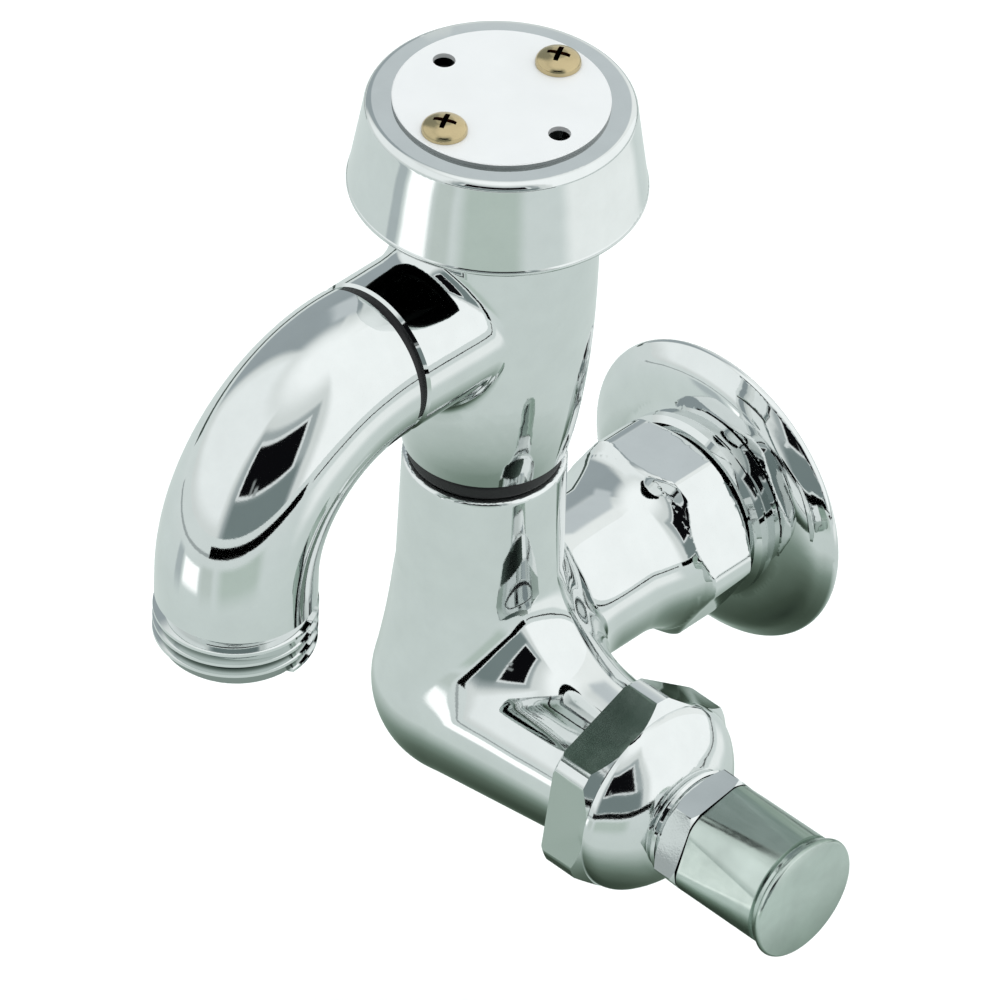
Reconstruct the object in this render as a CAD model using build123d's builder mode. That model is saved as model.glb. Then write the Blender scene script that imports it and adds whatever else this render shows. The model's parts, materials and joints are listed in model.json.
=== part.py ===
from build123d import *
import math
import os

# Sill faucet with an atmospheric vacuum breaker, a curved hose-thread spout and a loose key.
# Origin: centre of the wall flange's back face, on the inlet axis.
# +Y points into the wall, +Z is up, the bonnet and the key point along +X, the spout leaves toward -Y.
# Sizes in millimetres.

# ---- driving dimensions -------------------------------------------------
YB = 59.4            # body axis stands this far in front of the wall
ZB = 7.4             # bonnet axis lies this far below the inlet axis

# valve body
TUBE_R_TOP = 13.75   # outlet tube, at its rim
TUBE_R_LOW = 14.15   # outlet tube, where the chamber begins
TUBE_LOW_Z = 20.0
TUBE_TOP_Z = 49.2
BULB_R = 17.3        # rounded valve chamber
ARM_X1 = 33.2        # bonnet arm ends here
ARM_R1 = 13.75
CHAMBER_R = 11.3
ARM_FILLET = 8.0
INLET_FILLET = 7.0
INLET_R = 14.0       # inlet arm
INLET_HEX_AF = 33.4
INLET_HEX_TURN = 0.0
INLET_HEX_Y0 = -22.6
INLET_HEX_Y1 = -9.8
TAIL_R = 12.6        # round tail under the flange's hub
PIPE_R = 9.3         # female 1/2 in. pipe thread, at its crests
PIPE_DEPTH = 17.0
TOP_THREAD_R = 10.5  # female thread for the vacuum breaker

# wall flange
FLANGE_R = 28.3
HUB_R = 17.4

# bonnet, packing nut, spindle
BON_HEX_AF = 34.4
BON_HEX_R = 19.1     # corners turned down to this radius
BON_HEX_TURN = 22.7  # angle of its first corner above +Y
BON_X0 = 33.8
BON_X1 = 42.2
DOME_X1 = 50.0
DOME_R0 = 17.3
DOME_R1 = 9.7
SPIGOT_R = 11.2
NUT_AF = 20.2
NUT_TURN = 8.0
NUT_X0 = 52.5
NUT_X1 = 57.3
STEM_R = 4.0
LIFT = 4.0           # travel of the disc holder off its seat

# loose key
KEY_X0 = 57.7
KEY_X1 = 76.6
KEY_R = 10.35
KEY_END_R = 11.1
SQUARE = 6.35        # square end of the spindle, across flats

# vacuum breaker
VB_Z0 = 52.2
VB_TOP = 111.5
CAV_R = 12.4         # poppet chamber
PORT_Z = 84.5        # axis of the side outlet
FLOAT_RISE = 9.6
HOOD_TOP = 122.4
HOOD_RIM_Z = 105.6
HOOD_R0 = 21.9
HOOD_R1 = 24.5
PLATE_R = 17.7
SCREW_PCR = 13.0     # the plate's four holes lie on this radius

# spout
SPOUT_Y0 = 29.9      # spout begins this far in front of the body axis
BEND_R = 27.3
SPOUT_R = 13.3
SPOUT_BORE = 10.0
SPOUT_END_Z = 42.8
HOSE_R = 13.49       # 3/4-11.5 male hose thread, major radius
HOSE_ROOT_R = 12.25
HOSE_PITCH = 2.209
HOSE_LEN = 9.6

# ---- planes and axes ----------------------------------------------------
BODY = (0, -YB, -ZB)
PXZ = Plane(origin=BODY, x_dir=(1, 0, 0), z_dir=(0, -1, 0))    # local x = X, local y = Z
AX = Axis(BODY, (1, 0, 0))
AZ = Axis(BODY, (0, 0, 1))
PYZ = Plane(origin=(0, 0, 0), x_dir=(0, 1, 0), z_dir=(1, 0, 0))   # local x = Y, local y = Z
AY = Axis((0, 0, 0), (0, 1, 0))
PSP = Plane(origin=(0, -YB, -ZB + PORT_Z), x_dir=(0, 1, 0), z_dir=(1, 0, 0))
ASP = Axis((0, -YB, -ZB + PORT_Z), (0, 1, 0))


def at_x(x):
    """Plane square to the bonnet axis, local x = Y, local y = Z."""
    return Plane(origin=(x, -YB, -ZB), x_dir=(0, 1, 0), z_dir=(1, 0, 0))


def at_z(z):
    """Plane square to the body axis."""
    return Plane(origin=(0, -YB, -ZB + z), x_dir=(1, 0, 0), z_dir=(0, 0, 1))


def at_y(y):
    """Plane square to the inlet axis, local x = X, local y = Z, facing -Y."""
    return Plane(origin=(0, y, 0), x_dir=(1, 0, 0), z_dir=(0, -1, 0))


os.makedirs("parts", exist_ok=True)


def save(piece, name):
    piece.part.label = name
    export_step(piece.part, "parts/" + name + ".step")


# ---- valve body ---------------------------------------------------------
slope = math.radians(6.3)
bx, br = BULB_R * math.sin(slope), BULB_R * math.cos(slope)
d = math.hypot(TUBE_R_LOW, TUBE_LOW_Z)
tan_a = math.atan2(TUBE_LOW_Z, TUBE_R_LOW) - math.acos(BULB_R / d)
tx, tz = BULB_R * math.cos(tan_a), BULB_R * math.sin(tan_a)

with BuildPart() as valve_body:
    # outlet tube
    with BuildSketch(PXZ):
        with BuildLine():
            Polyline(
                (0, 0), (TUBE_R_LOW, 0), (TUBE_R_LOW, TUBE_LOW_Z), (TUBE_R_TOP, TUBE_TOP_Z - 0.5), (TUBE_R_TOP - 0.5, TUBE_TOP_Z), (0, TUBE_TOP_Z), (0, 0),
            )
        make_face()
    revolve(axis=AZ)
    # bonnet arm
    with BuildSketch(PXZ):
        with BuildLine():
            Polyline((0, 0), (0, br + 0.2), (ARM_X1, ARM_R1), (ARM_X1, 0), (0, 0))
        make_face()
    revolve(axis=AX)
    fillet(
        [e for e in valve_body.edges() if e.geom_type in (GeomType.BSPLINE, GeomType.OTHER) and e.center().X > 3 and e.center().Z > -ZB + 3],
        ARM_FILLET,
    )
    # inlet arm, flaring into the hexagon
    with BuildSketch(PYZ):
        with BuildLine():
            Line((-YB + 2, 0), (-YB + 2, INLET_R - 0.8))
            Line((-YB + 2, INLET_R - 0.8), (-29, INLET_R))
            Spline((-29, INLET_R), (-25.5, INLET_R + 0.7), (-22.0, INLET_R + 2.0), tangents=((1, 0.03), (1, 0.5)))
            Line((-22.0, INLET_R + 2.0), (-20.0, 0))
            Line((-20.0, 0), (-YB + 2, 0))
        make_face()
    revolve(axis=AY)
    for radius in (INLET_FILLET, 6.5, 6.0, 5.5, 5.0, 4.5, 4.0):
        joints = [
            e
            for e in valve_body.edges()
            if e.geom_type in (GeomType.BSPLINE, GeomType.OTHER) and -YB + 5 < e.center().Y < -YB + 17 and e.length > 2
        ]
        try:
            fillet(joints, radius)
            print("inlet fillet", radius, len(joints))
            break
        except Exception as err:
            print("inlet fillet", radius, "not made", len(joints))
    # rounded chamber, drawn up to the tube
    with BuildSketch(PXZ):
        with BuildLine():
            ThreePointArc((0, -BULB_R), (BULB_R * math.cos(math.radians(-40)), BULB_R * math.sin(math.radians(-40))), (tx, tz))
            Line((tx, tz), (TUBE_R_LOW, TUBE_LOW_Z))
            Line((TUBE_R_LOW, TUBE_LOW_Z), (0, TUBE_LOW_Z))
            Line((0, TUBE_LOW_Z), (0, -BULB_R))
        make_face()
    revolve(axis=AZ)
    # hexagon of the inlet, corners turned down at both ends
    with BuildSketch(at_y(INLET_HEX_Y1)):
        RegularPolygon(INLET_HEX_AF / 2, 6, major_radius=False, rotation=INLET_HEX_TURN)
        fillet(vertices(), 4.5)
    hexa = extrude(amount=INLET_HEX_Y1 - INLET_HEX_Y0, mode=Mode.PRIVATE)
    with BuildSketch(PYZ):
        with BuildLine():
            Polyline(
                (INLET_HEX_Y0, 0), (INLET_HEX_Y0, 15.4), (INLET_HEX_Y0 + 2.6, 18.4), (INLET_HEX_Y1 - 1.6, 18.4),
                (INLET_HEX_Y1, 16.3), (INLET_HEX_Y1, 0), (INLET_HEX_Y0, 0),
            )
        make_face()
    turned = revolve(axis=AY, mode=Mode.PRIVATE)
    add(hexa & turned)
    # groove, collar and round tail behind the hexagon
    with BuildSketch(PYZ):
        with BuildLine():
            Polyline((INLET_HEX_Y1 - 1, 0), (INLET_HEX_Y1 - 1, 14.6), (-8.9, 14.6), (-8.9, TAIL_R), (-2.4, TAIL_R), (-2.0, TAIL_R - 0.4), (-2.0, 0), (INLET_HEX_Y1 - 1, 0))
        make_face()
    revolve(axis=AY)
    # waterways: outlet tube with its female thread
    with BuildSketch(PXZ):
        with BuildLine():
            Polyline((0, 25.5), (4.0, 25.5), (8.5, 28.5), (8.5, 35.5), (TOP_THREAD_R, 36.5), (TOP_THREAD_R, TUBE_TOP_Z - 0.8), (TOP_THREAD_R + 0.8, TUBE_TOP_Z), (TOP_THREAD_R + 0.8, TUBE_TOP_Z + 1), (0, TUBE_TOP_Z + 1), (0, 25.5))
        make_face()
    revolve(axis=AZ, mode=Mode.SUBTRACT)
    # bonnet chamber, seat thread and the pocket below the seat
    with BuildSketch(PXZ):
        with BuildLine():
            Polyline((-8.5, 0), (-8.5, 4.5), (-5.5, 7.2), (4.6, 7.2), (4.6, 7.0), (9.0, 7.0), (9.0, CHAMBER_R), (ARM_X1 + 1, CHAMBER_R), (ARM_X1 + 1, 0), (-8.5, 0))
        make_face()
    revolve(axis=AX, mode=Mode.SUBTRACT)
    # slanting way from the chamber up to the tube
    with BuildSketch(Plane(origin=(15.2, -YB, -ZB + 7.6), x_dir=(0, 1, 0), z_dir=(-11.2, 0, 19.4))):
        Circle(3.9)
    extrude(amount=21.5, mode=Mode.SUBTRACT)
    # inlet bore and its female pipe thread
    with BuildSketch(PYZ):
        with BuildLine():
            Polyline((-YB + 3.5, 0), (-YB + 3.5, 4.4), (-YB + 6.0, 6.8), (-PIPE_DEPTH - 6.0, 6.8), (-PIPE_DEPTH - 4.2, PIPE_R), (-3.0, PIPE_R), (-1.6, PIPE_R + 1.2), (-1.6, 0), (-YB + 3.5, 0))
        make_face()
    revolve(axis=AY, mode=Mode.SUBTRACT)
    with BuildSketch(PYZ):
        with BuildLine():
            Polyline((-3.0, 0), (-3.0, PIPE_R), (-1.8, PIPE_R + 1.0), (-1.0, PIPE_R + 1.0), (-1.0, 0), (-3.0, 0))
        make_face()
    revolve(axis=AY, mode=Mode.SUBTRACT)
save(valve_body, "valve_body")

# ---- wall flange: thin domed disc with a stepped hub -----------------------
with BuildPart() as wall_flange:
    with BuildSketch(PYZ):
        with BuildLine():
            Polyline(
                (-8.3, TAIL_R + 0.08), (-8.3, HUB_R - 1.2), (-7.5, HUB_R - 0.1), (-6.2, HUB_R - 0.1), (-5.6, HUB_R - 0.9),
                (-5.3, HUB_R - 1.0), (-4.9, HUB_R + 0.6),
            )
            Spline((-4.9, HUB_R + 0.6), (-4.5, 21.5), (-3.3, 25.4), (-1.4, 27.9), tangents=((0.05, 1), (0.55, 0.8)))
            ThreePointArc((-1.4, 27.9), (-0.55, FLANGE_R - 0.06), (0, FLANGE_R - 0.3))
            Line((0, FLANGE_R - 0.3), (0, FLANGE_R - 1.3))
            Spline((0, FLANGE_R - 1.3), (-2.2, 24.8), (-3.4, 21.0), (-3.7, HUB_R - 0.6), tangents=((-0.7, -0.7), (-0.05, -1)))
            Line((-3.7, HUB_R - 0.6), (-3.7, TAIL_R + 0.08))
            Line((-3.7, TAIL_R + 0.08), (-8.3, TAIL_R + 0.08))
        make_face()
    revolve(axis=AY)
save(wall_flange, "wall_flange")

# foam ring inside the flange's rim
with BuildPart() as wall_gasket:
    with BuildSketch(PYZ):
        with BuildLine():
            Polyline((0, 14.2), (0, 22.6), (-2.6, 20.4), (-3.5, 18.0), (-3.5, 14.2), (0, 14.2))
        make_face()
    revolve(axis=AY)
save(wall_gasket, "wall_gasket")

# ---- valve seat -----------------------------------------------------------
with BuildPart() as valve_seat:
    with BuildSketch(PXZ):
        with BuildLine():
            Polyline((5.0, 4.4), (5.0, 6.95), (9.02, 6.95), (9.02, 8.8), (10.2, 8.8), (10.2, 6.6), (11.0, 6.0), (11.0, 5.4), (10.4, 4.4), (5.0, 4.4))
        make_face()
    revolve(axis=AX)
save(valve_seat, "valve_seat")

# ---- seat washer, its screw and the sliding disc holder --------------------
with BuildPart() as seat_washer:
    with BuildSketch(PXZ):
        with BuildLine():
            Polyline((11.04, 2.05), (11.04, 7.3), (11.5, 7.6), (13.8, 7.6), (13.8, 2.05), (11.04, 2.05))
        make_face()
    revolve(axis=AX)
save(seat_washer, "seat_washer")

with BuildPart() as washer_screw:
    with BuildSketch(PXZ):
        with BuildLine():
            Line((9.4, 0), (9.4, 2.6))
            ThreePointArc((9.4, 2.6), (10.0, 3.55), (11.0, 3.9))
            Polyline((11.0, 3.9), (11.0, 1.95), (18.2, 1.95), (18.6, 1.5), (18.6, 0), (9.4, 0))
        make_face()
    revolve(axis=AX)
    with BuildSketch(at_x(9.3)):
        Rectangle(0.9, 8.5)
    extrude(amount=0.9, mode=Mode.SUBTRACT)
save(washer_screw, "washer_screw")

with BuildPart() as disc_holder:
    with BuildSketch(PXZ):
        with BuildLine():
            Polyline(
                (12.4, 7.75), (12.4, 8.6), (12.9, 9.0), (17.0, 9.0), (17.6, 8.42), (31.0, 8.42), (31.5, 7.9), (31.5, STEM_R + 0.45), (20.6, STEM_R + 0.45),
                (19.6, 2.0), (13.84, 2.0), (13.84, 7.75), (12.4, 7.75),
            )
        make_face()
    revolve(axis=AX)
    # two keys that stop it turning
    with BuildSketch(at_x(19.0)):
        with Locations((0, 8.8), (0, -8.8)):
            Rectangle(2.8, 1.8)
    extrude(amount=11.5)
    # bores stay clear
    with BuildSketch(at_x(20.6)):
        Circle(STEM_R + 0.45)
    extrude(amount=11.5, mode=Mode.SUBTRACT)
save(disc_holder, "disc_holder")

# ---- bonnet ---------------------------------------------------------------
with BuildPart() as bonnet:
    with BuildSketch(at_x(BON_X0)):
        RegularPolygon(BON_HEX_AF / 2, 6, major_radius=False, rotation=BON_HEX_TURN)
    extrude(amount=BON_X1 - BON_X0)
    with BuildSketch(PXZ):
        with BuildLine():
            Polyline((BON_X0, 0), (BON_X0, 18.8), (BON_X0 + 0.4, BON_HEX_R), (BON_X1 - 1.6, BON_HEX_R), (BON_X1 + 0.2, 17.3), (BON_X1 + 0.2, 0), (BON_X0, 0))
        make_face()
    revolve(axis=AX, mode=Mode.INTERSECT)
    # dome, collar and the threaded nose that carries the packing nut
    with BuildSketch(PXZ):
        with BuildLine():
            Line((BON_X1 - 1, 0), (BON_X1 - 1, DOME_R0))
            Line((BON_X1 - 1, DOME_R0), (BON_X1, DOME_R0))
            Spline((BON_X1, DOME_R0), (45.2, 15.9), (48.3, 12.7), (DOME_X1, DOME_R1), tangents=((1, -0.1), (0.45, -0.9)))
            Polyline(
                (DOME_X1, DOME_R1), (50.15, 9.2), (50.5, 9.2), (50.6, 9.75), (51.0, 10.0), (51.5, 9.75), (51.6, 9.2), (52.2, 9.2), (52.2, 8.1), (56.2, 8.1), (56.2, 0), (BON_X1 - 1, 0),
            )
        make_face()
    revolve(axis=AX)
    # threaded spigot that screws into the body
    with BuildSketch(PXZ):
        with BuildLine():
            Polyline((21.8, 0), (21.8, SPIGOT_R - 0.6), (22.4, SPIGOT_R), (32.0, SPIGOT_R), (32.2, SPIGOT_R - 0.8), (BON_X0 + 1, SPIGOT_R - 0.8), (BON_X0 + 1, 0), (21.8, 0))
        make_face()
    revolve(axis=AX)
    # guide bore, spindle bore and packing chamber
    with BuildSketch(PXZ):
        with BuildLine():
            Polyline((18.0, 0), (18.0, 8.5), (36.4, 8.5), (37.4, 7.5), (37.4, STEM_R + 0.1), (43.6, STEM_R + 0.1), (43.6, 6.5), (57.0, 6.5), (57.0, 0), (18.0, 0))
        make_face()
    revolve(axis=AX, mode=Mode.SUBTRACT)
    # keyways
    with BuildSketch(at_x(18.0)):
        with Locations((0, 8.6), (0, -8.6)):
            Rectangle(3.1, 2.5)
    extrude(amount=18.0, mode=Mode.SUBTRACT)
save(bonnet, "bonnet")

with BuildPart() as bonnet_gasket:
    with BuildSketch(at_x(ARM_X1)):
        Circle(13.5)
        Circle(SPIGOT_R - 0.2 + 0.4, mode=Mode.SUBTRACT)
    extrude(amount=BON_X0 - ARM_X1)
save(bonnet_gasket, "bonnet_gasket")

# ---- spindle: drive thread, stop collar, square end ------------------------
with BuildPart() as spindle:
    with BuildSketch(PXZ):
        with BuildLine():
            Polyline((25.2, 0), (25.2, 3.4), (26.1, 4.35), (36.9, 4.35), (36.9, STEM_R), (43.7, STEM_R), (43.7, 6.2), (46.0, 6.2), (46.0, STEM_R), (58.2, STEM_R), (58.2, 0), (25.2, 0))
        make_face()
    revolve(axis=AX)
    with BuildSketch(at_x(58.0)):
        Rectangle(SQUARE, SQUARE)
        fillet(vertices(), 0.7)
    extrude(amount=12.0)
    chamfer(faces().sort_by(Axis.X)[-1].edges(), 0.5)
save(spindle, "spindle")

with BuildPart() as stem_packing:
    with BuildSketch(at_x(46.2)):
        Circle(6.45)
        Circle(STEM_R + 0.04, mode=Mode.SUBTRACT)
    extrude(amount=4.6)
save(stem_packing, "stem_packing")

with BuildPart() as packing_gland:
    with BuildSketch(PXZ):
        with BuildLine():
            Polyline((50.85, 4.1), (50.85, 6.4), (56.3, 6.4), (56.3, 4.1), (50.85, 4.1))
        make_face()
    revolve(axis=AX)
save(packing_gland, "packing_gland")

with BuildPart() as packing_nut:
    with BuildSketch(at_x(NUT_X0)):
        RegularPolygon(NUT_AF / 2, 6, major_radius=False, rotation=NUT_TURN)
    extrude(amount=NUT_X1 - NUT_X0)
    with BuildSketch(PXZ):
        with BuildLine():
            Polyline((NUT_X0, 0), (NUT_X0, 10.5), (NUT_X0 + 0.8, 11.6), (NUT_X1 - 0.5, 11.6), (NUT_X1, 10.9), (NUT_X1, 0), (NUT_X0, 0))
        make_face()
    revolve(axis=AX, mode=Mode.INTERSECT)
    with BuildSketch(PXZ):
        with BuildLine():
            Polyline((NUT_X0 - 1, 0), (NUT_X0 - 1, 8.15), (56.32, 8.15), (56.32, STEM_R + 0.1), (NUT_X1 + 1, STEM_R + 0.1), (NUT_X1 + 1, 0), (NUT_X0 - 1, 0))
        make_face()
    revolve(axis=AX, mode=Mode.SUBTRACT)
save(packing_nut, "packing_nut")

# ---- loose key: soft hexagon at the root that turns round at the flat end ---
with BuildPart() as loose_key:
    with BuildSketch(at_x(KEY_X0)):
        RegularPolygon(NUT_AF / 2 + 0.05, 6, major_radius=False, rotation=11)
        fillet(vertices(), 4.6)
    with BuildSketch(at_x(KEY_X1 - 3.0)):
        RegularPolygon(KEY_R - 0.1, 6, major_radius=False, rotation=11)
        fillet(vertices(), 9.0)
    loft()
    with BuildSketch(PXZ):
        with BuildLine():
            Line((KEY_X1 - 3.2, 0), (KEY_X1 - 3.2, KEY_R - 0.4))
            Spline((KEY_X1 - 3.2, KEY_R - 0.4), (KEY_X1 - 2.0, KEY_R + 0.15), (KEY_X1 - 1.2, KEY_END_R - 0.25), tangents=((1, 0.05), (0.5, 0.85)))
            ThreePointArc((KEY_X1 - 1.2, KEY_END_R - 0.25), (KEY_X1 - 0.55, KEY_END_R), (KEY_X1, KEY_END_R - 0.45))
            Polyline((KEY_X1, KEY_END_R - 0.45), (KEY_X1, 0), (KEY_X1 - 3.2, 0))
        make_face()
    revolve(axis=AX)
    # square socket with a relieved mouth
    with BuildSketch(at_x(KEY_X0)):
        Rectangle(SQUARE + 0.16, SQUARE + 0.16)
    extrude(amount=13.0, mode=Mode.SUBTRACT)
    with BuildSketch(at_x(KEY_X0)):
        Circle(5.2)
    extrude(amount=1.4, mode=Mode.SUBTRACT)
save(loose_key, "loose_key")

# ---- vacuum breaker body ----------------------------------------------------
with BuildPart() as breaker_body:
    with BuildSketch(PXZ):
        with BuildLine():
            Polyline((0, 37.2), (9.6, 37.2), (TOP_THREAD_R - 0.05, 38.2), (TOP_THREAD_R - 0.05, 49.0), (9.9, 49.4), (9.9, VB_Z0), (13.1, VB_Z0), (13.95, VB_Z0 + 0.8))
            Spline((13.95, VB_Z0 + 0.8), (14.75, 57.0), (15.9, 65.0), (16.7, 74.0), (17.05, 84.0), (17.1, 97.0), tangents=((0.2, 1), (0, 1)))
            Polyline((17.1, 97.0), (17.1, VB_TOP), (0, VB_TOP), (0, 37.2))
        make_face()
    revolve(axis=AZ)
    # side outlet boss
    with BuildSketch(PSP):
        with BuildLine():
            Polyline((0, 0), (0, 13.45), (-SPOUT_Y0 + 2.5, 13.25), (-SPOUT_Y0 + 2.0, 12.8), (-SPOUT_Y0 + 2.0, 0), (0, 0))
        make_face()
    revolve(axis=ASP)
    for radius in (4.0, 3.2, 2.4, 1.6):
        joints = [
            e
            for e in breaker_body.edges()
            if e.geom_type in (GeomType.BSPLINE, GeomType.OTHER)
            and -YB - 20 < e.center().Y < -YB - 4
            and -ZB + 66 < e.center().Z < -ZB + 102
        ]
        try:
            fillet(joints, radius)
            print("boss fillet", radius, len(joints))
            break
        except Exception as err:
            print("boss fillet", radius, "not made", len(joints))
    # waterway, lower seat, poppet chamber and the thread of the air cover
    with BuildSketch(PXZ):
        with BuildLine():
            Polyline(
                (0, 36.0), (8.0, 36.0), (8.0, 70.5), (8.6, 72.6), (8.6, 75.4), (9.4, 75.4), (9.4, 74.4), (CAV_R, 74.4), (CAV_R, 98.6), (13.4, 99.2),
                (13.4, VB_TOP + 1), (0, VB_TOP + 1), (0, 36.0),
            )
        make_face()
    revolve(axis=AZ, mode=Mode.SUBTRACT)
    # outlet port and the thread that takes the spout
    with BuildSketch(PSP):
        with BuildLine():
            Polyline((0, 0), (0, 7.6), (-17.4, 7.6), (-18.2, 9.7), (-SPOUT_Y0 - 1, 9.7), (-SPOUT_Y0 - 1, 0), (0, 0))
        make_face()
    revolve(axis=ASP, mode=Mode.SUBTRACT)
save(breaker_body, "breaker_body")

with BuildPart() as breaker_seal:
    with BuildSketch(at_z(TUBE_TOP_Z)):
        Circle(12.9)
        Circle(10.6, mode=Mode.SUBTRACT)
    extrude(amount=VB_Z0 - TUBE_TOP_Z)
    fillet(breaker_seal.edges().filter_by(GeomType.CIRCLE).group_by(SortBy.RADIUS)[-1], 0.9)
save(breaker_seal, "breaker_seal")

with BuildPart() as float_guide:
    with BuildSketch(at_z(58.0)):
        Circle(7.98)
        Circle(6.4, mode=Mode.SUBTRACT)
    extrude(amount=7.0)
    with BuildSketch(at_z(60.0)):
        with PolarLocations(0, 3, start_angle=30):
            with Locations((3.8, 0)):
                Rectangle(6.2, 1.6)
        Circle(3.6)
        Circle(2.1, mode=Mode.SUBTRACT)
    extrude(amount=4.0)
save(float_guide, "float_guide")

with BuildPart() as breaker_float:
    with BuildSketch(PXZ):
        with BuildLine():
            Polyline(
                (0, 52.0), (1.4, 52.0), (2.04, 52.8), (2.04, 73.0), (5.0, 75.45), (10.9, 75.45), (11.3, 76.0), (11.3, 77.4), (7.0, 79.0), (7.0, 82.6), (1.5, 82.6), (1.5, 78.6), (0, 78.6), (0, 52.0),
            )
        make_face()
    revolve(axis=AZ)
    # three guide ribs around the skirt
    with BuildSketch(at_z(76.0)):
        with PolarLocations(10.9, 3, start_angle=30):
            Rectangle(1.8, 1.6)
    extrude(amount=4.6)
save(breaker_float, "breaker_float")

with BuildPart() as float_disc:
    with BuildSketch(at_z(82.62)):
        Circle(8.9)
        Circle(1.6, mode=Mode.SUBTRACT)
    extrude(amount=2.6)
    fillet(faces().sort_by(Axis.Z)[-1].edges().sort_by(SortBy.LENGTH)[-1:], 0.4)
save(float_disc, "float_disc")

with BuildPart() as float_screw:
    with BuildSketch(PXZ):
        with BuildLine():
            Polyline((0, 78.8), (1.45, 78.8), (1.45, 85.24), (3.2, 85.24), (3.2, 85.9), (2.2, 86.8), (0, 86.8), (0, 78.8))
        make_face()
    revolve(axis=AZ)
    with BuildSketch(at_z(86.2)):
        Rectangle(7.0, 0.8)
    extrude(amount=1.0, mode=Mode.SUBTRACT)
save(float_screw, "float_screw")

# air cover: threaded ring with the air port, flange and two posts for the hood
with BuildPart() as air_cover:
    with BuildSketch(PXZ):
        with BuildLine():
            Polyline(
                (6.6, 94.9), (7.4, 94.9), (8.2, 96.2), (12.6, 99.6), (13.35, 100.4), (13.35, VB_TOP + 0.8), (16.6, VB_TOP + 0.8), (16.6, VB_TOP + 2.6), (15.9, VB_TOP + 3.2),
                (9.6, VB_TOP + 3.2), (9.6, 106.0), (6.6, 102.0), (6.6, 94.9),
            )
        make_face()
    revolve(axis=AZ)
    with BuildSketch(at_z(VB_TOP + 3.0)):
        with Locations((0, SCREW_PCR), (0, -SCREW_PCR)):
            Circle(3.0)
    extrude(amount=HOOD_TOP - 1.6 - VB_TOP - 3.0)
    with Locations(at_z(HOOD_TOP - 1.6)):
        with Locations((0, SCREW_PCR), (0, -SCREW_PCR)):
            Hole(1.55, depth=8.5)
save(air_cover, "air_cover")

with BuildPart() as air_gasket:
    with BuildSketch(at_z(VB_TOP)):
        Circle(16.4)
        Circle(13.6, mode=Mode.SUBTRACT)
    extrude(amount=0.8)
save(air_gasket, "air_gasket")

# ---- hood, plate and plate screws -------------------------------------------
with BuildPart() as hood:
    with BuildSketch(PXZ):
        with BuildLine():
            Line((0, HOOD_TOP), (20.7, HOOD_TOP))
            ThreePointArc((20.7, HOOD_TOP), (21.75, HOOD_TOP - 0.5), (HOOD_R0 + 0.28, HOOD_TOP - 1.6))
            Line((HOOD_R0 + 0.28, HOOD_TOP - 1.6), (HOOD_R1 - 0.15, HOOD_RIM_Z + 1.2))
            ThreePointArc((HOOD_R1 - 0.15, HOOD_RIM_Z + 1.2), (HOOD_R1 - 0.05, HOOD_RIM_Z + 0.35), (HOOD_R1 - 0.75, HOOD_RIM_Z))
            ThreePointArc((HOOD_R1 - 0.75, HOOD_RIM_Z), (HOOD_R1 - 1.35, HOOD_RIM_Z + 0.3), (HOOD_R1 - 1.5, HOOD_RIM_Z + 1.0))
            Line((HOOD_R1 - 1.5, HOOD_RIM_Z + 1.0), (HOOD_R0 - 1.15, HOOD_TOP - 2.4))
            Line((HOOD_R0 - 1.15, HOOD_TOP - 2.4), (HOOD_R0 - 1.95, HOOD_TOP - 1.58))
            Line((HOOD_R0 - 1.95, HOOD_TOP - 1.58), (0, HOOD_TOP - 1.58))
            Line((0, HOOD_TOP - 1.58), (0, HOOD_TOP))
        make_face()
    revolve(axis=AZ)
    with Locations(at_z(HOOD_TOP)):
        with Locations((0, SCREW_PCR), (0, -SCREW_PCR)):
            Hole(1.9)
        with Locations((SCREW_PCR, 0), (-SCREW_PCR, 0)):
            Hole(1.8)
save(hood, "hood")

with BuildPart() as hood_plate:
    with BuildSketch(at_z(HOOD_TOP + 0.02)):
        Circle(PLATE_R)
    extrude(amount=0.8)
    chamfer(faces().sort_by(Axis.Z)[-1].edges(), 0.15)
    with Locations(at_z(HOOD_TOP + 1.0)):
        with Locations((0, SCREW_PCR), (0, -SCREW_PCR)):
            Hole(1.9)
        with Locations((SCREW_PCR, 0), (-SCREW_PCR, 0)):
            Hole(1.85)
save(hood_plate, "hood_plate")

with BuildPart() as plate_screws:
    for y in (SCREW_PCR, -SCREW_PCR):
        face = HOOD_TOP + 0.84
        sp = Plane(origin=(0, -YB + y, -ZB), x_dir=(1, 0, 0), z_dir=(0, -1, 0))
        with BuildSketch(sp):
            with BuildLine():
                Polyline((0, face - 9.0), (1.1, face - 9.0), (1.5, face - 8.6), (1.5, face), (3.75, face), (3.75, face + 0.5))
                Spline((3.75, face + 0.5), (3.2, face + 1.35), (1.9, face + 1.95), (0, face + 2.15), tangents=((-0.2, 1), (-1, 0)))
                Line((0, face + 2.15), (0, face - 9.0))
            make_face()
        revolve(axis=Axis((0, -YB + y, -ZB), (0, 0, 1)))
        # cross recess
        with BuildSketch(Plane(origin=(0, -YB + y, -ZB + face + 2.3), x_dir=(1, 0, 0), z_dir=(0, 0, 1))):
            Rectangle(4.0, 0.95, rotation=28)
            Rectangle(0.95, 4.0, rotation=28)
        extrude(amount=-1.75, taper=14, mode=Mode.SUBTRACT)
save(plate_screws, "plate_screws")

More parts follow.
